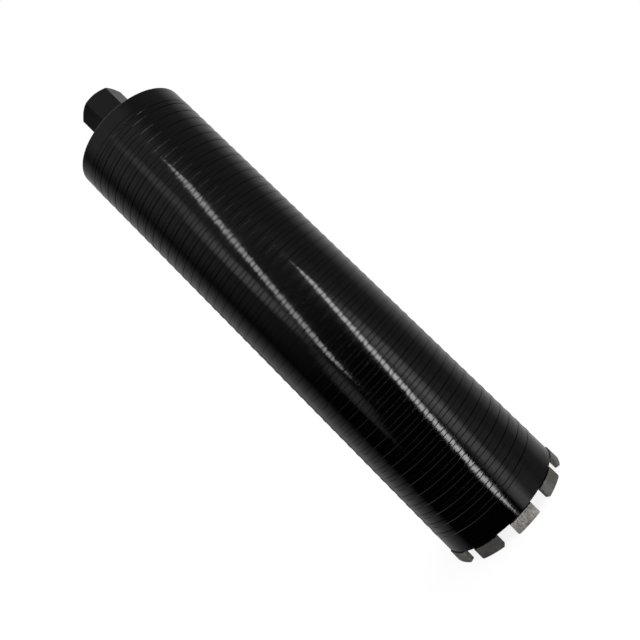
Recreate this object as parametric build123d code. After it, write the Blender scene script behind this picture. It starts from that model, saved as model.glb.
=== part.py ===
from build123d import *
import math
import os

# A wet diamond core bit for a core drill: a thin steel barrel with a ring of
# diamond segments on its crown, and a threaded hexagon hub on its back plate.
# It stands on its crown. Z is up, and z = 0 is the plane of the segment tips.

# Driving dimensions, in millimetres and degrees

# Barrel
BARREL_DIAMETER = 120.0
BARREL_WALL = 2.5
BARREL_LENGTH = 470.0
RIM_CHAMFER = 0.5

# Closed raised ring near the rim, with 45 degree flanks
RING_WIDTH = 4.1
RING_HEIGHT = 0.2
RING_FROM_RIM = 13.7

# Crown
SEGMENT_COUNT = 10
SEGMENT_LENGTH = 24.0
SEGMENT_HEIGHT = 10.0
SEGMENT_THICKNESS = 4.5
SEGMENT_STAND_OUT = 1.0
SEGMENT_CORNER = 1.3
SEGMENT_FIRST_ANGLE = -90.0

# Back plate, set into the back end of the barrel
PLATE_THICKNESS = 10.0
PLATE_SET_BACK = 2.5
PLATE_WELD_LEG = 2.6
PLATE_WELD_BELOW_RIM = 0.3

# Hub: hexagon body over a round spigot that passes through the plate
HUB_ACROSS_FLATS = 41.0
HUB_ABOVE_RIM = 50.0
HUB_CORNER_ANGLE = 6.5
HUB_FACE_DIAMETER = 40.0
HUB_CHAMFER_ANGLE = 30.0
SPIGOT_DIAMETER = 36.0
THREAD_MINOR_DIAMETER = 28.0
THREAD_MOUTH_DIAMETER = 33.0
HUB_WELD_LEG = 4.6
HUB_WELD_TOE = 0.4

# Sizes worked out from the above
RADIUS = BARREL_DIAMETER / 2
BORE_RADIUS = RADIUS - BARREL_WALL
CROWN_Z = SEGMENT_HEIGHT
RIM_Z = CROWN_Z + BARREL_LENGTH
PLATE_TOP_Z = RIM_Z - PLATE_SET_BACK
PLATE_BOTTOM_Z = PLATE_TOP_Z - PLATE_THICKNESS
HUB_TOP_Z = RIM_Z + HUB_ABOVE_RIM
SPIGOT_RADIUS = SPIGOT_DIAMETER / 2
THREAD_RADIUS = THREAD_MINOR_DIAMETER / 2


def tube(outer, inner, bottom, top):
    """A plain round tube between two heights."""
    wall = Circle(outer) - Circle(inner)
    return Pos(0, 0, bottom) * extrude(wall, top - bottom)


def ring():
    """The closed raised ring near the rim, rooted in the middle of the barrel's wall."""
    root = (RADIUS + BORE_RADIUS) / 2
    top = RIM_Z - RING_FROM_RIM
    bottom = top - RING_WIDTH
    outline = Polyline(
        (root, bottom),
        (RADIUS, bottom),
        (RADIUS + RING_HEIGHT, bottom + RING_HEIGHT),
        (RADIUS + RING_HEIGHT, top - RING_HEIGHT),
        (RADIUS, top),
        (root, top),
        close=True,
    )
    return revolve(Plane.XZ * make_face(outline), Axis.Z)


def barrel():
    """The drawn steel tube, with a small chamfer round its rim and the raised ring."""
    body = tube(RADIUS, BORE_RADIUS, CROWN_Z, RIM_Z)
    rim = body.faces().sort_by(Axis.Z)[-1].edges().sort_by(SortBy.LENGTH)[-1]
    return chamfer(rim, RIM_CHAMFER) + ring()


def back_plate():
    """The turned steel disc that closes the back end, bored for the hub's spigot."""
    return tube(BORE_RADIUS, SPIGOT_RADIUS, PLATE_BOTTOM_Z, PLATE_TOP_Z)


def plate_weld():
    """The weld bead in the corner between the plate and the barrel's rim."""
    corner = (BORE_RADIUS, PLATE_TOP_Z)
    wall_toe = (BORE_RADIUS, RIM_Z - PLATE_WELD_BELOW_RIM)
    plate_toe = (BORE_RADIUS - PLATE_WELD_LEG, PLATE_TOP_Z)
    bead = Polyline(wall_toe, corner, plate_toe, close=True)
    return revolve(Plane.XZ * make_face(bead), Axis.Z)


def hexagon(across_flats):
    """A hexagon turned to the hub's corner angle."""
    return Rot(0, 0, HUB_CORNER_ANGLE) * RegularPolygon(across_flats / 2, 6, major_radius=False)


def hub_blank():
    """The turned outline of the hub: its spigot, and the chamfer that takes the corners off its end."""
    reach = HUB_ACROSS_FLATS
    face = HUB_FACE_DIAMETER / 2
    chamfer_z = HUB_TOP_Z - (reach - face) * math.tan(math.radians(HUB_CHAMFER_ANGLE))
    outline = Polyline(
        (0, PLATE_BOTTOM_Z),
        (SPIGOT_RADIUS, PLATE_BOTTOM_Z),
        (SPIGOT_RADIUS, PLATE_TOP_Z),
        (reach, PLATE_TOP_Z),
        (reach, chamfer_z),
        (face, HUB_TOP_Z),
        (0, HUB_TOP_Z),
        close=True,
    )
    return revolve(Plane.XZ * make_face(outline), Axis.Z)


def hub():
    """The hexagon hub with its spigot, bored right through for the spindle thread and the water."""
    length = HUB_TOP_Z - PLATE_BOTTOM_Z
    bar = extrude(hexagon(HUB_ACROSS_FLATS) - Circle(THREAD_RADIUS), length)
    body = hub_blank() & Pos(0, 0, PLATE_BOTTOM_Z) * bar
    mouth = THREAD_MOUTH_DIAMETER / 2
    sink = Cone(THREAD_RADIUS, mouth, mouth - THREAD_RADIUS, align=(Align.CENTER, Align.CENTER, Align.MAX))
    return body - Pos(0, 0, HUB_TOP_Z) * sink


def hub_weld():
    """The weld bead round the foot of the hexagon."""
    foot = offset(hexagon(HUB_ACROSS_FLATS), HUB_WELD_LEG + HUB_WELD_TOE, kind=Kind.ARC)
    bead = extrude(foot, HUB_WELD_LEG, taper=45) - extrude(hexagon(HUB_ACROSS_FLATS), HUB_WELD_LEG)
    return Pos(0, 0, PLATE_TOP_Z) * bead


def segment(index):
    """One sintered diamond segment, seated on the barrel's crown and proud of it inside and out."""
    outer = RADIUS + SEGMENT_STAND_OUT
    inner = outer - SEGMENT_THICKNESS
    half_width = outer * math.tan(SEGMENT_LENGTH / outer / 2)
    wedge = make_face(Polyline((0, 0), (outer, half_width), (outer, -half_width), close=True))
    block = extrude((Circle(outer) - Circle(inner)) & wedge, SEGMENT_HEIGHT)
    tip_ends = block.faces().sort_by(Axis.Z)[0].edges().filter_by(GeomType.LINE)
    block = fillet(tip_ends, SEGMENT_CORNER)
    return Rot(0, 0, SEGMENT_FIRST_ANGLE + index * 360 / SEGMENT_COUNT) * block


def pieces():
    """Every piece of the bit, by the name of its file."""
    found = {
        "barrel": barrel(),
        "back_plate": back_plate(),
        "plate_weld": plate_weld(),
        "hub": hub(),
        "hub_weld": hub_weld(),
    }
    for index in range(SEGMENT_COUNT):
        found[f"segment_{index + 1:02d}"] = segment(index)
    return found


os.makedirs("parts", exist_ok=True)
for name, piece in pieces().items():
    export_step(piece, f"parts/{name}.step")
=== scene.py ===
import math

import bpy
import numpy as np
from mathutils import Matrix, Vector, noise


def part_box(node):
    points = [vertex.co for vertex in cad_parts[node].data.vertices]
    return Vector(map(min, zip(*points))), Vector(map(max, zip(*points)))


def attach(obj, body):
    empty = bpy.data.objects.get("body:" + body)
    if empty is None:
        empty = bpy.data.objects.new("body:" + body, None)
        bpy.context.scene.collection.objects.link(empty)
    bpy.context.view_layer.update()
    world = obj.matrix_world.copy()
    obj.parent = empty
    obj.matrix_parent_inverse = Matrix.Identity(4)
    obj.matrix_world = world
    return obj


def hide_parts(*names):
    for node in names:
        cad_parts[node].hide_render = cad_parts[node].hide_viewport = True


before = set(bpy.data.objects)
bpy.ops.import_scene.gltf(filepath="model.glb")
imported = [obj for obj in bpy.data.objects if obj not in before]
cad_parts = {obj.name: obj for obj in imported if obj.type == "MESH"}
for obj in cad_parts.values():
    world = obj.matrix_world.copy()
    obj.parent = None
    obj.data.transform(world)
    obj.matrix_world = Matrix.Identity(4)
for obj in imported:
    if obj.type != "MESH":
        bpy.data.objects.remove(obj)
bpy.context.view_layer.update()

# Sizes in metres and angles in degrees. Heights come from the frame.
MM = 0.001

CROWN_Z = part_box("barrel")[0][2]
RIM_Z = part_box("barrel")[1][2]
PLATE_TOP_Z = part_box("back_plate")[1][2]
HUB_LOW_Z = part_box("hub")[0][2]
HUB_TOP_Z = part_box("hub")[1][2]

# Barrel
RADIUS = 60.0 * MM
BORE_RADIUS = 57.5 * MM
RIM_CHAMFER = 0.5 * MM
EDGE_BREAK = 0.12 * MM
BARREL_COLUMNS = 180
BORE_ROWS = 8

# The raised helical rib, and the closed ring near the rim that it starts from
RIB_WIDTH = 4.1 * MM
RIB_HEIGHT = 0.3 * MM
RING_HEIGHT = 0.2 * MM
RIB_FLANK = 0.8 * MM
RIB_LEAD = 10.174 * MM
RIB_START = 134.0
RIB_TURNS = 43.24
RIB_RUN_OUT = 50.0
RING_TOP_Z = RIM_Z - 13.7 * MM
PLAIN_BELOW_RIB = 2.0 * MM
LEVEL_GAP = 0.05 * MM

# Segments
SEGMENT_COUNT = 10
SEGMENT_FIRST_ANGLE = -90.0
SEGMENT_OUTER = 61.0 * MM
SEGMENT_INNER = 56.5 * MM
SEGMENT_LENGTH = 24.0 * MM
SEGMENT_CORNER = 1.3 * MM
SEGMENT_EDGE = 0.3 * MM
SEGMENT_CELL = 0.36 * MM
SEGMENT_UNEVEN = 0.08 * MM
SEGMENT_GRAIN = 1.4 * MM
SEGMENT_TONES = (2.3, 0.97, 1.25, 0.8, 1.2, 0.7, 1.05, 0.9, 1.35, 0.55)
SEAT_PAINT = 0.6 * MM
SEAT_PAINT_JAGGED = 0.3 * MM

# Hub
HUB_HALF_FLATS = 20.5 * MM
HUB_CORNER_ANGLE = 6.5
HUB_CORNER_ROUND = 0.6 * MM
HUB_FACE_RADIUS = 20.0 * MM
HUB_CHAMFER = 30.0
HUB_EDGE = 0.2 * MM
SPIGOT_RADIUS = 18.0 * MM
FLAT_COLUMNS = 19

# Hub thread: 1 1/4 inch, 7 threads an inch
THREAD_MINOR = 14.0 * MM
THREAD_MAJOR = 15.875 * MM
THREAD_PITCH = 25.4 / 7 * MM
THREAD_ROOT = THREAD_PITCH / 8
THREAD_HALF_ANGLE = 30.0
THREAD_FLANK = (THREAD_MAJOR - THREAD_MINOR) * math.tan(math.radians(THREAD_HALF_ANGLE))
THREAD_DEPTH = 46.0 * MM
THREAD_MOUTH = 16.5 * MM

# Weld beads. The bulge is a share of a leg, the bow bends the ripples, and a lump is a share of a ripple.
PLATE_WELD_LEG = 2.6 * MM
PLATE_WELD_BELOW_RIM = 0.3 * MM
HUB_WELD_LEG = 4.6 * MM
BEAD_STEP = 0.5 * MM
BEAD_POINTS = 9
BEAD_BULGE = 0.16
RIPPLE_PITCH = 2.3 * MM
RIPPLE_HEIGHT = 0.14 * MM
RIPPLE_BOW = 3.6
LUMP_SIZE = 6.0 * MM
LUMP_SHARE = 0.6

# The photo's camera, in the part's own frame
IMAGE_SIZE = 640
FOCAL_PIXELS = 562.9
OPTICAL_AXIS_PIXEL = (304.71, 283.20)
SENSOR_WIDTH_MM = 36.0
CAMERA_PLACE = Vector((-31.2, -516.4, 192.4)) * MM
CAMERA_RIGHT = Vector((0.70564, 0.02932, -0.70796))
CAMERA_FORWARD = Vector((0.08986, 0.98738, 0.13044))

# Long lamps: name, directions of the two ends as (azimuth, elevation), width as an angle, radiance
LAMP_DISTANCE = 1.3
LAMP_CENTRE = Vector((0, 0, 0.2))
WATTS_A_SQUARE_METRE = 4.0
STRIPS = (
    ("strip_left", (-33.0, -1.5), (8.0, 31.0), 4.4, 4.4),
    ("strip_right", (-1.5, -26.5), (36.0, 10.5), 4.4, 7.2),
)

# Soft round lights in reflections: azimuth, elevation, full within, gone at, strength
GLOWS = (
    (-30, 23, 1, 9, 0.5),
    (-39, 12, 1, 11, 0.95),
    (-45, -2, 1, 6, 0.35),
    (-51, -3, 1, 6, 0.35),
    (-57, -5, 1, 6, 0.3),
    (178, 5, 3, 18, 0.25),
    (21, -25, 2, 11, 0.9),
    (31, -13, 2, 11, 0.9),
    (40, -4, 2, 11, 1.0),
    (42, -8, 10, 30, 0.12),
    (178, 58, 8, 24, 0.5),
)

# Wide soft lights in reflections: level, and fades as (axis, gone at, full at, kind)
WIDE_LIGHTS = (
    (0.165, (("X", 0.1, 0.45, "SMOOTHSTEP"),)),
    (0.6, (("Z", -0.45, -0.75, "SMOOTHSTEP"), ("X", 0.2, -0.2, "SMOOTHSTEP"))),
    (0.37, (("Z", -0.05, 0.5, "LINEAR"), ("Y", 0.2, -0.4, "LINEAR"), ("X", 0.5, 0.1, "SMOOTHSTEP"))),
)

# Soft light of the world, from the left side to the right
DIFFUSE_LEFT = 0.3
DIFFUSE_RIGHT = 1.1

# Floor
FLOOR_HALF_SIZE = 4.0
FLOOR_BELOW = 0.05 * MM
FLOOR_GLOW_SHARE = 0.75
FLOOR_GLOW = 1.16
FLOOR_COLOUR = (0.9, 0.9, 0.9)
WHITE = (1.0, 1.0, 1.0)

# Colours of the materials, in pairs where a noise mixes two
ENAMEL = ((0.0006, 0.0006, 0.0008), (0.0012, 0.0012, 0.0015))
SATIN = ((0.002, 0.002, 0.0023), (0.008, 0.0078, 0.0072))
STEEL = ((0.42, 0.41, 0.39), (0.20, 0.185, 0.165))
BOND = ((0.150, 0.145, 0.132), (0.215, 0.204, 0.187))
MOTTLE = (0.095, 0.09, 0.08)
GRIT = (0.08, 0.076, 0.07)
PIT = (0.025, 0.023, 0.02)
SEAT_BLACK = (0.004, 0.004, 0.0045)

# Fine relief of the materials: heights, and bumps a metre of the satin paint
LINE_RELIEF = 0.035 * MM
PEEL_RELIEF = 0.015 * MM
SATIN_RELIEF = 0.03 * MM
CUT_RELIEF = 0.01 * MM
MOTTLE_RELIEF = 0.08 * MM
GRIT_RELIEF = 0.02 * MM
WELD_BUMPS = 700
PLATE_BUMPS = 300


def smoothstep(x, low, high):
    """0 below low, 1 above high, and a smooth rise between."""
    t = np.clip((np.asarray(x, float) - low) / (high - low), 0, 1)
    return t * t * (3 - 2 * t)


def polar(angle, radius, z):
    """A point at an angle round the axis, in degrees."""
    turn = math.radians(angle)
    return Vector((radius * math.cos(turn), radius * math.sin(turn), z))


def add_mesh(name, points, faces, normals=None):
    """A new smooth-shaded mesh object."""
    mesh = bpy.data.meshes.new(name)
    mesh.from_pydata([tuple(point) for point in points], [], faces)
    mesh.update()
    mesh.polygons.foreach_set("use_smooth", [True] * len(mesh.polygons))
    if normals is not None:
        mesh.normals_split_custom_set_from_vertices([tuple(normal) for normal in normals])
    made = bpy.data.objects.new(name, mesh)
    bpy.context.scene.collection.objects.link(made)
    return made


def seat(piece, node, material):
    """A piece that stands for a node of the frame."""
    piece.data.materials.append(material)
    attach(piece, "root")
    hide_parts(node)


# Turned skins: closed walls with a helix on them


def stitch(left, right, faces):
    """Joins two neighbouring columns, each a dict of level to point number, with quads and triangles."""
    left_levels = list(left) + [next(iter(left))]
    right_levels = list(right) + [next(iter(right))]
    i = k = 0
    while i + 1 < len(left_levels) or k + 1 < len(right_levels):
        a, b = left[left_levels[i]], right[right_levels[k]]
        next_left = left_levels[i + 1] if i + 1 < len(left_levels) else None
        next_right = right_levels[k + 1] if k + 1 < len(right_levels) else None
        if next_left == next_right:
            faces.append((a, b, right[next_right], left[next_left]))
            i += 1
            k += 1
        elif next_left is not None and next_left not in right:
            faces.append((a, b, left[next_left]))
            i += 1
        else:
            faces.append((a, b, right[next_right]))
            k += 1


def lay_skin(name, columns, rows_a_turn):
    """One closed skin over columns that stand clockwise round the axis.

    A column goes once round the wall's section as (level, point, normal). Neighbours are joined
    at the levels that they share. A level ("turn", number) is on the helix, so it is
    rows_a_turn further on after the last column.
    """
    points = []
    normals = []
    indexes = []
    for column in columns:
        start = len(points)
        indexes.append({level: start + place for place, (level, point, normal) in enumerate(column)})
        points += [point for level, point, normal in column]
        normals += [normal for level, point, normal in column]
    once_round = {}
    for level, index in indexes[0].items():
        if level[0] == "turn":
            level = ("turn", level[1] - rows_a_turn)
        once_round[level] = index
    indexes.append(once_round)
    faces = []
    for left, right in zip(indexes, indexes[1:]):
        stitch(left, right, faces)
    return add_mesh(name, points, faces, normals)


def surface_points(angle, turned, levels, radius_at):
    """Points and normals at levels (level, z) of a surface whose radius is radius_at(turned, z)."""
    z = np.array([height for level, height in levels])
    step_z = 0.004 * MM
    step_turn = 0.02
    radii = radius_at(turned, z)
    along_z = (radius_at(turned, z + step_z) - radius_at(turned, z - step_z)) / (2 * step_z)
    step_length = 2 * math.radians(step_turn) * radii
    along_turn = (radius_at(turned + step_turn, z) - radius_at(turned - step_turn, z)) / step_length
    outwards = polar(angle, 1, 0)
    clockwise = Vector((outwards.y, -outwards.x, 0))
    found = []
    for (level, height), radius, up, side in zip(levels, radii, along_z, along_turn):
        normal = (outwards - clockwise * side - Vector((0, 0, up))).normalized()
        found.append((level, polar(angle, radius, height), normal))
    return found


# Barrel


def rib_profile(depth):
    """The share of the rib's height at a distance below its upper edge: a flat top and two soft flanks."""
    half = RIB_FLANK / 2
    return smoothstep(depth, -half, half) - smoothstep(depth, RIB_WIDTH - half, RIB_WIDTH + half)


def barrel_radius(turned, z):
    """The outside's radius. turned is the angle from the rib's start, the way it goes down."""
    height = RING_HEIGHT * rib_profile(RING_TOP_Z - z)
    nearest = np.floor((RING_TOP_Z - z) / RIB_LEAD - turned / 360)
    for number in (nearest - 1, nearest, nearest + 1):
        total = number + turned / 360
        nearer_end = np.minimum(total, RIB_TURNS - total) * 360
        present = RIB_HEIGHT * smoothstep(nearer_end, 0, RIB_RUN_OUT)
        height = np.maximum(height, present * rib_profile(RING_TOP_Z - RIB_LEAD * total - z))
    return RADIUS + height


def rib_levels():
    """Distances below the rib's upper edge at which its surface has points, over one turn."""
    flank = [RIB_FLANK * share for share in (-0.5, -0.25, 0, 0.25, 0.5)]
    return flank + [RIB_WIDTH + step for step in flank]


def barrel_column(turned, rib):
    """The barrel's wall at one angle, from the rim down the outside and up the bore."""
    angle = RIB_START - turned
    outwards = polar(angle, 1, 0)
    upwards = Vector((0, 0, 1))
    bevel_way = (outwards + upwards).normalized()
    column = []

    def add(level, radius, z, normal):
        column.append(((level,), polar(angle, radius, z), normal))

    add("rim", BORE_RADIUS + EDGE_BREAK, RIM_Z, upwards)
    add("rim edge", RADIUS - RIM_CHAMFER - EDGE_BREAK, RIM_Z, upwards)
    add("bevel", RADIUS - RIM_CHAMFER, RIM_Z - EDGE_BREAK / 2, bevel_way)
    add("bevel foot", RADIUS - EDGE_BREAK / 2, RIM_Z - RIM_CHAMFER, bevel_way)
    add("wall", RADIUS, RIM_Z - RIM_CHAMFER - EDGE_BREAK, outwards)
    ring = [(("ring", number), RING_TOP_Z - depth) for number, depth in enumerate(rib)]
    zone_top = ring[-1][1] - LEVEL_GAP
    zone_end = RING_TOP_Z - RIB_LEAD * RIB_TURNS - RIB_WIDTH - PLAIN_BELOW_RIB
    levels = list(ring)
    for turn in range(-1, math.ceil(RIB_TURNS) + 2):
        upper_edge = RING_TOP_Z - RIB_LEAD * (turn + turned / 360)
        for number, depth in enumerate(rib):
            if zone_end + LEVEL_GAP < upper_edge - depth < zone_top:
                levels.append((("turn", turn * len(rib) + number), upper_edge - depth))
    column += surface_points(angle, turned, levels, barrel_radius)
    add("zone end", RADIUS, zone_end, outwards)
    add("wall end", RADIUS, CROWN_Z + EDGE_BREAK, outwards)
    add("crown", RADIUS - EDGE_BREAK, CROWN_Z, -upwards)
    add("crown inside", BORE_RADIUS + EDGE_BREAK, CROWN_Z, -upwards)
    for number in range(BORE_ROWS + 1):
        share = number / BORE_ROWS
        z = (CROWN_Z + EDGE_BREAK) * (1 - share) + (RIM_Z - EDGE_BREAK) * share
        column.append((("bore", number), polar(angle, BORE_RADIUS, z), -outwards))
    return column


def make_barrel():
    """The barrel: its plain bands, its ring and the helical rib."""
    rib = rib_levels()
    turns = [360 * number / BARREL_COLUMNS for number in range(BARREL_COLUMNS)]
    columns = [barrel_column(turned, rib) for turned in turns]
    return lay_skin("barrel_skin", columns, len(rib))


# Hub


def hexagon_stations():
    """(angle, radius, normal angle) clockwise round the hexagon, with its corners rounded."""
    half_side = HUB_HALF_FLATS * math.tan(math.radians(30))
    straight = half_side - HUB_CORNER_ROUND * math.tan(math.radians(30))
    centre = (HUB_HALF_FLATS - HUB_CORNER_ROUND) / math.cos(math.radians(30))
    stations = []
    for side in range(6):
        facing = HUB_CORNER_ANGLE + 30 - 60 * side
        for place in np.linspace(straight, -straight, FLAT_COLUMNS):
            turn = math.degrees(math.atan2(place, HUB_HALF_FLATS))
            stations.append((facing + turn, math.hypot(HUB_HALF_FLATS, place), facing))
        for bend in (15, 0, -15):
            corner = facing - 30
            x = centre + HUB_CORNER_ROUND * math.cos(math.radians(bend))
            y = HUB_CORNER_ROUND * math.sin(math.radians(bend))
            stations.append((corner + math.degrees(math.atan2(y, x)), math.hypot(x, y), corner + bend))
    return stations


def thread_radius(turned, z):
    """The threaded bore's radius: roots cut out from the minor diameter, and a countersunk mouth."""
    end = HUB_TOP_Z - THREAD_DEPTH
    depth = (HUB_TOP_Z - z - THREAD_PITCH * turned / 360) % THREAD_PITCH
    from_root = np.minimum(depth, THREAD_PITCH - depth) - THREAD_ROOT / 2
    cut = (THREAD_MAJOR - THREAD_MINOR) * (1 - np.clip(from_root / THREAD_FLANK, 0, 1))
    cut = cut * smoothstep(z, end, end + THREAD_PITCH)
    mouth = THREAD_MOUTH - (HUB_TOP_Z - z)
    return np.maximum(THREAD_MINOR + cut, mouth)


def thread_levels():
    """Distances below the root's middle at which the thread has points, over one pitch."""
    half_root = THREAD_ROOT / 2
    crest = half_root + THREAD_FLANK
    # a point on each side of the root's corner, and one on each side of the crest's
    half = [half_root * 0.9, half_root * 1.3, crest * 0.93, crest * 1.05]
    return [0.0] + half + [THREAD_PITCH / 2] + [THREAD_PITCH - depth for depth in reversed(half)]


def hub_column(first_angle, station, thread):
    """The hub's wall at one angle, from its face down the hexagon and the spigot and up the thread."""
    angle, radius, facing = station
    turned = first_angle - angle
    outwards = polar(angle, 1, 0)
    upwards = Vector((0, 0, 1))
    flat_way = polar(facing, 1, 0)
    cone_way = (outwards * math.tan(math.radians(HUB_CHAMFER)) + upwards).normalized()
    cone_foot = HUB_TOP_Z - (radius - HUB_FACE_RADIUS) * math.tan(math.radians(HUB_CHAMFER))
    column = []

    def add(level, distance, z, normal):
        column.append(((level,), polar(angle, distance, z), normal))

    add("face", HUB_FACE_RADIUS - HUB_EDGE, HUB_TOP_Z, upwards)
    add("cone", HUB_FACE_RADIUS + HUB_EDGE, HUB_TOP_Z - HUB_EDGE / 2, cone_way)
    add("cone foot", radius - HUB_EDGE, cone_foot + HUB_EDGE * 0.2, cone_way)
    add("side", radius, cone_foot - HUB_EDGE, flat_way)
    add("side foot", radius, PLATE_TOP_Z, flat_way)
    add("under", SPIGOT_RADIUS, PLATE_TOP_Z, -upwards)
    add("spigot", SPIGOT_RADIUS, PLATE_TOP_Z - HUB_EDGE, outwards)
    add("spigot foot", SPIGOT_RADIUS, HUB_LOW_Z + HUB_EDGE, outwards)
    add("end", SPIGOT_RADIUS - HUB_EDGE, HUB_LOW_Z, -upwards)
    add("end inside", THREAD_MINOR + HUB_EDGE, HUB_LOW_Z, -upwards)
    add("bore", THREAD_MINOR, HUB_LOW_Z + HUB_EDGE, -outwards)
    low = HUB_TOP_Z - THREAD_DEPTH
    add("thread end", THREAD_MINOR, low, -outwards)
    levels = []
    for turn in range(math.ceil(THREAD_DEPTH / THREAD_PITCH) + 1, -2, -1):
        for number in reversed(range(len(thread))):
            z = HUB_TOP_Z - THREAD_PITCH * (turn + turned / 360) - thread[number]
            if low + LEVEL_GAP < z < HUB_TOP_Z - LEVEL_GAP:
                levels.append((("turn", turn * len(thread) + number), z))
    for level, point, normal in surface_points(angle, turned, levels, thread_radius):
        column.append((level, point, -normal))
    add("mouth", THREAD_MOUTH, HUB_TOP_Z, upwards)
    return column


def make_hub():
    """The hexagon hub with its chamfered end, spigot and threaded bore."""
    thread = thread_levels()
    stations = hexagon_stations()
    first_angle = stations[0][0]
    columns = [hub_column(first_angle, station, thread) for station in stations]
    return lay_skin("hub_skin", columns, len(thread))


# Segments


def spread(start, end, cell):
    """Even steps from start to end, about a cell long."""
    return list(np.linspace(start, end, max(2, round(abs(end - start) / cell) + 1)))


def segment_lines():
    """The grid lines of a segment's face, along its length and up its height."""
    half = SEGMENT_LENGTH / 2
    inner = half - SEGMENT_CORNER
    corner_cell = SEGMENT_CORNER / 5
    along = spread(-half, -inner, corner_cell) + spread(-inner, inner, SEGMENT_CELL)[1:]
    along += spread(inner, half, corner_cell)[1:]
    up = spread(0, SEGMENT_CORNER, corner_cell) + spread(SEGMENT_CORNER, CROWN_Z, SEGMENT_CELL)[1:]
    return along, up


def segment_outline(x, z, inset):
    """A point of the face's rectangle moved into the outline with rounded tip corners, drawn in by inset."""
    half = SEGMENT_LENGTH / 2
    over_x = abs(x) - (half - SEGMENT_CORNER)
    over_z = SEGMENT_CORNER - z
    if over_x > 0 and over_z > 0:
        share = max(over_x, over_z) / math.hypot(over_x, over_z)
        x = math.copysign(half - SEGMENT_CORNER + over_x * share, x)
        z = SEGMENT_CORNER - over_z * share
    middle = CROWN_Z / 2
    return x * (1 - inset / half), middle + (z - middle) * (1 - inset / middle)


def place_on_segment(x, z, depth, middle_angle, shake):
    """A point of a segment, from its length, its height and its depth from the outer face, made uneven."""
    point = polar(middle_angle + math.degrees(x / SEGMENT_OUTER), SEGMENT_OUTER - depth, z)
    inwards = polar(middle_angle, (SEGMENT_INNER + SEGMENT_OUTER) / 2, CROWN_Z / 2) - point
    spot = point / SEGMENT_GRAIN
    rough = noise.noise(spot + shake) + 0.5 * noise.noise(spot * 2.3 + shake)
    # the noises add up to 1.5 at most, so the point only moves inwards
    return point + inwards.normalized() * SEGMENT_UNEVEN * (0.5 + 0.33 * rough)


def make_segment(index):
    """A sintered segment: two gridded faces joined by a band with rounded edges."""
    angle = SEGMENT_FIRST_ANGLE + index * 360 / SEGMENT_COUNT
    thickness = SEGMENT_OUTER - SEGMENT_INNER
    along, up = segment_lines()
    columns, rows = len(along), len(up)
    shake = Vector((17.0 * index, 5.0 * index, 0))
    points = []
    faces = []
    border = [(i, 0) for i in range(columns)] + [(columns - 1, j) for j in range(1, rows)]
    border += [(i, rows - 1) for i in range(columns - 2, -1, -1)]
    border += [(0, j) for j in range(rows - 2, 0, -1)]

    def add_point(x, z, inset, depth):
        points.append(place_on_segment(*segment_outline(x, z, inset), depth, angle, shake))

    def add_face(depth):
        start = len(points)
        for z in up:
            for x in along:
                add_point(x, z, SEGMENT_EDGE, depth)
        for j in range(rows - 1):
            for i in range(columns - 1):
                corner = start + j * columns + i
                quad = (corner, corner + 1, corner + columns + 1, corner + columns)
                faces.append(quad if depth == 0 else quad[::-1])
        return [start + j * columns + i for i, j in border]

    def add_loop(inset, depth):
        start = len(points)
        for i, j in border:
            add_point(along[i], up[j], inset, depth)
        return list(range(start, len(points)))

    edge = []
    for turn in (60, 30, 0):
        bend = math.radians(turn)
        edge.append((SEGMENT_EDGE * (1 - math.cos(bend)), SEGMENT_EDGE * (1 - math.sin(bend))))
    band_depths = spread(SEGMENT_EDGE, thickness - SEGMENT_EDGE, 2 * SEGMENT_CELL)[1:-1]
    band = [(0.0, depth) for depth in band_depths]
    far_edge = [(inset, thickness - depth) for inset, depth in reversed(edge)]
    loops = [add_face(0.0)]
    for inset, depth in edge + band + far_edge:
        loops.append(add_loop(inset, depth))
    loops.append(add_face(thickness))
    for outer, inner in zip(loops, loops[1:]):
        for place in range(len(border)):
            after = (place + 1) % len(border)
            faces.append((outer[place], inner[place], inner[after], outer[after]))
    return add_mesh(f"segment_{index + 1:02d}_skin", points, faces)


# Weld beads


def lay_bead(name, stations, foot_z, across, up):
    """A closed fillet bead along stations (point, outward normal), with ripples like laid scales.

    The bead fills the corner between a plate below and a wall on its inner side. across and up
    are its two legs, and a negative across puts it on the inner side of an outer wall.
    """
    points = []
    distance = 0.0
    before = stations[0][0]
    for place, outwards in stations:
        distance += (place - before).length
        before = place
        points.append(place + Vector((0, 0, foot_z)) - outwards * math.copysign(EDGE_BREAK, across))
        for number in range(BEAD_POINTS):
            share = number / (BEAD_POINTS - 1)
            # nothing at the bead's two toes, and full midway between them
            arch = math.sin(math.pi * share)
            out = (1 - share + BEAD_BULGE * arch) * across
            rise = (share + BEAD_BULGE * arch) * up
            wave = (distance / RIPPLE_PITCH + RIPPLE_BOW * (share - 0.5) ** 2) % 1
            scale = wave ** 0.6 * (1 - wave) ** 0.3 - 0.5
            lump = LUMP_SHARE * noise.noise(place / LUMP_SIZE)
            ripple = RIPPLE_HEIGHT * arch * (scale + lump)
            way = (outwards * math.copysign(1, across) + Vector((0, 0, 1))).normalized()
            points.append(place + outwards * out + Vector((0, 0, foot_z + rise)) + way * ripple)
    ring = BEAD_POINTS + 1
    faces = []
    for station in range(len(stations)):
        here = station * ring
        there = (station + 1) % len(stations) * ring
        for number in range(ring):
            after = (number + 1) % ring
            quad = (here + number, here + after, there + after, there + number)
            faces.append(quad if across > 0 else quad[::-1])
    return add_mesh(name, points, faces)


def make_plate_weld():
    """The bead in the corner between the plate and the barrel's bore."""
    count = round(2 * math.pi * BORE_RADIUS / BEAD_STEP)
    stations = []
    for number in range(count):
        outwards = polar(360 * number / count, 1, 0)
        stations.append((outwards * BORE_RADIUS, outwards))
    rise = RIM_Z - PLATE_WELD_BELOW_RIM - PLATE_TOP_Z
    return lay_bead("plate_weld_skin", stations, PLATE_TOP_Z, -PLATE_WELD_LEG, rise)


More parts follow.
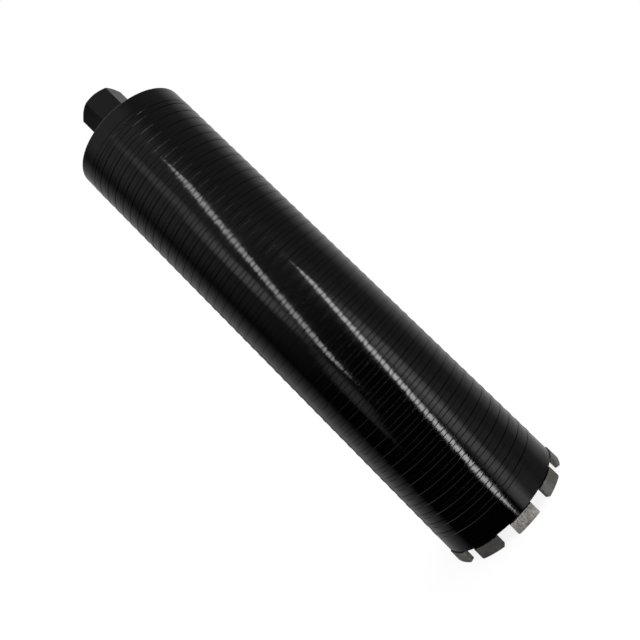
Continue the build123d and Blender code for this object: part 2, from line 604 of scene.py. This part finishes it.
def make_hub_weld():
    """The bead round the foot of the hexagon."""
    corner = HUB_CORNER_ROUND * 3
    straight = (HUB_HALF_FLATS - corner) * math.tan(math.radians(30))
    centre = (HUB_HALF_FLATS - corner) / math.cos(math.radians(30))
    stations = []
    for side in range(6):
        facing = HUB_CORNER_ANGLE - 30 + 60 * side
        outwards = polar(facing, 1, 0)
        sideways = polar(facing + 90, 1, 0)
        for place in spread(-straight, straight, BEAD_STEP):
            stations.append((outwards * HUB_HALF_FLATS + sideways * place, outwards))
        for bend in (-20, -10, 0, 10, 20):
            way = polar(facing + 30 + bend, 1, 0)
            stations.append((polar(facing + 30, centre, 0) + way * corner, way))
    return lay_bead("hub_weld_skin", stations, PLATE_TOP_Z, HUB_WELD_LEG, HUB_WELD_LEG)


# Materials


def feed(tree, shader_node, inputs):
    """Sets a shader node's inputs, or links them where the value is another node's socket."""
    for name, value in inputs.items():
        if isinstance(value, bpy.types.NodeSocket):
            tree.links.new(value, shader_node.inputs[name])
        else:
            shader_node.inputs[name].default_value = value


def node(tree, kind, inputs=None, **settings):
    """A new shader node with its settings and its inputs."""
    made = tree.nodes.new(kind)
    for name, value in settings.items():
        setattr(made, name, value)
    feed(tree, made, inputs or {})
    return made


def new_material(name):
    """A material and its tree, its Principled shader and its object coordinates."""
    material = bpy.data.materials.new(name)
    material.use_nodes = True
    tree = material.node_tree
    shader = tree.nodes["Principled BSDF"]
    place = node(tree, "ShaderNodeTexCoord").outputs["Object"]
    return material, tree, shader, place


def grain(tree, place, scale, detail=3.0):
    """Noise over the surface, scale being features a metre along each axis."""
    stretched = node(tree, "ShaderNodeMapping", {"Vector": place, "Scale": scale}).outputs[0]
    inputs = {"Vector": stretched, "Scale": 1.0, "Detail": detail}
    return node(tree, "ShaderNodeTexNoise", inputs).outputs["Fac"]


def remap(tree, value, low, high, start, end, way="SMOOTHSTEP"):
    """A value taken from low..high to start..end, smoothly unless the way is LINEAR."""
    inputs = {"Value": value, "From Min": low, "From Max": high, "To Min": start, "To Max": end}
    return node(tree, "ShaderNodeMapRange", inputs, interpolation_type=way).outputs["Result"]


def combine(tree, operation, first, second):
    """Two values joined by a sum, a product or the like."""
    return node(tree, "ShaderNodeMath", {0: first, 1: second}, operation=operation).outputs[0]


def opaque(colour):
    """A colour with its alpha at full, or the socket that gives a colour."""
    return colour if isinstance(colour, bpy.types.NodeSocket) else (*colour, 1.0)


def blend(tree, factor, first, second):
    """A mix of two colours."""
    inputs = {0: factor, 6: opaque(first), 7: opaque(second)}
    return node(tree, "ShaderNodeMix", inputs, data_type="RGBA").outputs[2]


def bump(tree, height, distance, before=None):
    """A bump of a height in metres, over another one if there is one."""
    inputs = {"Height": height, "Distance": distance, "Strength": 1.0}
    if before is not None:
        inputs["Normal"] = before
    return node(tree, "ShaderNodeBump", inputs).outputs["Normal"]


def gloss_paint(name, painted_flank_shade=False):
    """Black enamel over a turned surface: fine lines round it, a little orange peel and uneven gloss.

    If asked for, the rib's flanks, known by their tilt, are black metal that reflects next to
    nothing: painted shade in the rib's creases, and the upper one a little more so.
    """
    material, tree, shader, place = new_material(name)
    lines = grain(tree, place, (5, 5, 450))
    peel = grain(tree, place, (400, 400, 400), 2.0)
    patches = grain(tree, place, (25, 25, 40))
    feed(tree, shader, {
        "Base Color": blend(tree, patches, *ENAMEL),
        "Roughness": remap(tree, patches, 0.3, 0.7, 0.07, 0.12),
        "Normal": bump(tree, peel, PEEL_RELIEF, bump(tree, lines, LINE_RELIEF)),
    })
    if painted_flank_shade:
        # painted shade: where the normal tilts up or down on a flank, the paint turns to black metal that
        # reflects next to nothing
        facing = node(tree, "ShaderNodeTexCoord").outputs["Normal"]
        tilt = node(tree, "ShaderNodeSeparateXYZ", {"Vector": facing}).outputs["Z"]
        upper = remap(tree, tilt, 0.02, 0.10, 0.0, 0.8)
        lower = remap(tree, tilt, -0.02, -0.10, 0.0, 0.6)
        feed(tree, shader, {"Metallic": combine(tree, "ADD", upper, lower)})
    return material


def satin_paint(name, bump_scale):
    """Duller black paint over a rough surface, with dust in places."""
    material, tree, shader, place = new_material(name)
    rough = grain(tree, place, (bump_scale, bump_scale, bump_scale), 4.0)
    patches = grain(tree, place, (60, 60, 60))
    dust = remap(tree, patches, 0.45, 0.7, 0.0, 1.0)
    feed(tree, shader, {
        "Base Color": blend(tree, dust, *SATIN),
        "Roughness": remap(tree, patches, 0.3, 0.7, 0.22, 0.38),
        "Normal": bump(tree, rough, SATIN_RELIEF),
    })
    return material


def thread_steel():
    """Bare cut steel with fine lines round it, darker and duller where oil has stained it."""
    material, tree, shader, place = new_material("thread_steel")
    lines = grain(tree, place, (60, 60, 3000), 2.0)
    stain = grain(tree, place, (140, 140, 140), 4.0)
    oiled = remap(tree, stain, 0.4, 0.65, 0.0, 1.0)
    feed(tree, shader, {
        "Base Color": blend(tree, oiled, *STEEL),
        "Metallic": 1.0,
        "Roughness": remap(tree, stain, 0.3, 0.7, 0.28, 0.45),
        "Normal": bump(tree, lines, CUT_RELIEF),
    })
    return material


def segment_metal(name, tone):
    """Sintered bond with diamond grit: mottled grey of a tone, dark pits, and black paint along its seat."""
    material, tree, shader, place = new_material(name)
    mottle = grain(tree, place, (350, 350, 350), 5.0)
    fine = grain(tree, place, (1500, 1500, 1500), 2.0)
    drift = grain(tree, place, (120, 120, 120), 2.0)
    pits = node(tree, "ShaderNodeTexVoronoi", {"Vector": place, "Scale": 600.0}).outputs["Distance"]
    dark, light = ([channel * tone for channel in grey] for grey in BOND)
    colour = blend(tree, remap(tree, drift, 0.4, 0.6, 0.0, 1.0), dark, light)
    colour = blend(tree, remap(tree, mottle, 0.4, 0.65, 0.0, 0.4), colour, MOTTLE)
    colour = blend(tree, remap(tree, fine, 0.45, 0.7, 0.0, 0.35), colour, GRIT)
    colour = blend(tree, remap(tree, pits, 0.14, 0.34, 0.5 * tone, 0.0), colour, PIT)
    height = node(tree, "ShaderNodeSeparateXYZ", {"Vector": place}).outputs["Z"]
    jagged = remap(tree, mottle, 0.3, 0.7, -SEAT_PAINT_JAGGED, SEAT_PAINT_JAGGED, "LINEAR")
    height = combine(tree, "ADD", height, jagged)
    painted = remap(tree, height, CROWN_Z - SEAT_PAINT, CROWN_Z - 0.5 * SEAT_PAINT, 0.0, 1.0)
    feed(tree, shader, {
        "Base Color": blend(tree, painted, colour, SEAT_BLACK),
        "Metallic": 0.35,
        "Roughness": remap(tree, painted, 0.0, 1.0, 0.55, 0.25),
        "Normal": bump(tree, fine, GRIT_RELIEF, bump(tree, mottle, MOTTLE_RELIEF)),
    })
    return material


def bare_the_thread(hub):
    """Bare steel on the hub's threaded bore."""
    hub.data.materials.append(thread_steel())
    for face in hub.data.polygons:
        x, y, z = face.center
        if math.hypot(x, y) < THREAD_MOUTH and z > HUB_LOW_Z + HUB_EDGE:
            face.material_index = 1


# Stage


def stand(thing, place, right, up, back):
    """Puts a camera or a lamp at a place, with its own axes along three directions."""
    axes = Matrix((right, up, back)).transposed().to_4x4()
    thing.matrix_world = Matrix.Translation(place) @ axes


def add_camera():
    """The photo's camera."""
    camera = bpy.data.objects.new("camera", bpy.data.cameras.new("camera"))
    bpy.context.scene.collection.objects.link(camera)
    back = -CAMERA_FORWARD.normalized()
    right = (CAMERA_RIGHT - back * CAMERA_RIGHT.dot(back)).normalized()
    stand(camera, CAMERA_PLACE, right, back.cross(right), back)
    camera.data.sensor_width = SENSOR_WIDTH_MM
    camera.data.lens = FOCAL_PIXELS / IMAGE_SIZE * SENSOR_WIDTH_MM
    camera.data.shift_x = 0.5 - OPTICAL_AXIS_PIXEL[0] / IMAGE_SIZE
    camera.data.shift_y = OPTICAL_AXIS_PIXEL[1] / IMAGE_SIZE - 0.5
    camera.data.clip_start = 10 * MM
    bpy.context.scene.camera = camera


def direction(azimuth, elevation):
    """A direction from the part: azimuth 0 is -Y and 90 is +X."""
    azimuth, elevation = math.radians(azimuth), math.radians(elevation)
    flat = math.cos(elevation)
    return Vector((math.sin(azimuth) * flat, -math.cos(azimuth) * flat, math.sin(elevation)))


def add_strip(name, start, end, width, radiance):
    """A long lamp that spans two directions from the part, a given angle wide, and faces the part."""
    first = LAMP_CENTRE + direction(*start) * LAMP_DISTANCE
    last = LAMP_CENTRE + direction(*end) * LAMP_DISTANCE
    lamp = bpy.data.lights.new(name, "AREA")
    lamp.shape = "RECTANGLE"
    lamp.size = math.radians(width) * LAMP_DISTANCE
    lamp.size_y = (last - first).length
    lamp.energy = WATTS_A_SQUARE_METRE * radiance * lamp.size * lamp.size_y
    made = bpy.data.objects.new(name, lamp)
    bpy.context.scene.collection.objects.link(made)
    middle = (first + last) / 2
    away = (middle - LAMP_CENTRE).normalized()
    along = (last - first).normalized()
    along = (along - away * along.dot(away)).normalized()
    stand(made, middle, along.cross(away), along, away)
    made.visible_camera = False


def glow(tree, place, azimuth, elevation, inner, outer, strength):
    """A soft round light of the world: full within inner degrees of its middle and gone at outer."""
    inputs = {0: place, 1: direction(azimuth, elevation)}
    nearness = node(tree, "ShaderNodeVectorMath", inputs, operation="DOT_PRODUCT").outputs["Value"]
    edge, core = math.cos(math.radians(outer)), math.cos(math.radians(inner))
    return remap(tree, nearness, edge, core, 0.0, strength)


def wide_light(tree, way, level, fades):
    """A wide soft light of the world, faded in along one or more axes of the direction."""
    light = level
    for axis, gone, full, kind in fades:
        light = combine(tree, "MULTIPLY", light, remap(tree, way[axis], gone, full, 0.0, 1.0, kind))
    return light


def studio_backdrop(tree, way):
    """The pale backdrop behind the part. It fades at its sides, in its middle, and above and below."""
    turned_away = remap(tree, way["Y"], 0.08, 0.9, 1.0, 0.0, "LINEAR")
    level = combine(tree, "SUBTRACT", 1.0, combine(tree, "POWER", turned_away, 2.0))
    level = combine(tree, "MULTIPLY", level, remap(tree, way["Y"], 0.8, 1.0, 0.37, 0.05))
    level = combine(tree, "MULTIPLY", level, remap(tree, way["Z"], 0.52, 0.62, 1.0, 0.0))
    return combine(tree, "MULTIPLY", level, remap(tree, way["Z"], -0.32, -0.44, 1.0, 0.0))


def studio_light(tree, place):
    """What reflections see beside the two strips: the backdrop, the wide lights and the round ones."""
    way = node(tree, "ShaderNodeSeparateXYZ", {"Vector": place}).outputs
    total = studio_backdrop(tree, way)
    for light in WIDE_LIGHTS:
        total = combine(tree, "ADD", total, wide_light(tree, way, *light))
    for light in GLOWS:
        total = combine(tree, "ADD", total, glow(tree, place, *light))
    return total


def add_world():
    """White for the camera, a soft light that grows to the right, and a studio in reflections."""
    world = bpy.data.worlds.new("studio")
    bpy.context.scene.world = world
    world.use_nodes = True
    tree = world.node_tree
    tree.nodes.clear()
    path = node(tree, "ShaderNodeLightPath").outputs
    place = node(tree, "ShaderNodeTexCoord").outputs["Generated"]
    studio = studio_light(tree, place)
    way = node(tree, "ShaderNodeSeparateXYZ", {"Vector": place}).outputs
    soft = remap(tree, way["X"], -1.0, 1.0, DIFFUSE_LEFT, DIFFUSE_RIGHT, "LINEAR")

    def mixed(factor, first, second):
        return node(tree, "ShaderNodeMix", {0: factor, 2: first, 3: second}).outputs[0]

    lit = mixed(path["Is Diffuse Ray"], studio, soft)
    shown = mixed(path["Is Camera Ray"], lit, 1.0)
    clear = mixed(path["Is Transmission Ray"], shown, 1.0)
    background = node(tree, "ShaderNodeBackground", {"Color": opaque(WHITE), "Strength": clear}).outputs[0]
    node(tree, "ShaderNodeOutputWorld", {"Surface": background})


def add_floor():
    """A pale floor that glows for the camera, so that it shows white and keeps a soft shadow."""
    size = FLOOR_HALF_SIZE
    flat = ((-size, -size), (size, -size), (size, size), (-size, size))
    floor = add_mesh("floor", [(x, y, -FLOOR_BELOW) for x, y in flat], [(0, 1, 2, 3)])
    material, tree = new_material("floor_white")[:2]
    path = node(tree, "ShaderNodeLightPath").outputs
    share = combine(tree, "MULTIPLY", path["Is Camera Ray"], FLOOR_GLOW_SHARE)
    paint = node(tree, "ShaderNodeBsdfDiffuse", {"Color": opaque(FLOOR_COLOUR)}).outputs[0]
    shine = node(tree, "ShaderNodeEmission", {"Color": opaque(WHITE), "Strength": FLOOR_GLOW}).outputs[0]
    mix = node(tree, "ShaderNodeMixShader", {0: share, 1: paint, 2: shine}).outputs[0]
    tree.links.new(mix, tree.nodes["Material Output"].inputs["Surface"])
    floor.data.materials.append(material)
    floor.visible_glossy = False


bpy.context.scene.view_settings.view_transform = "Standard"

weld_paint = satin_paint("weld_paint", WELD_BUMPS)

# the barrel's rib flanks get painted shade
seat(make_barrel(), "barrel", gloss_paint("barrel_paint", painted_flank_shade=True))
hub = make_hub()
seat(hub, "hub", gloss_paint("hub_paint"))
bare_the_thread(hub)
seat(make_plate_weld(), "plate_weld", weld_paint)
seat(make_hub_weld(), "hub_weld", weld_paint)
for number, tone in enumerate(SEGMENT_TONES):
    name = f"segment_{number + 1:02d}"
    seat(make_segment(number), name, segment_metal(f"{name}_metal", tone))

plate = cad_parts["back_plate"]
plate.data.materials.clear()
plate.data.materials.append(satin_paint("plate_paint", PLATE_BUMPS))

add_camera()
for strip in STRIPS:
    add_strip(*strip)
add_world()
add_floor()
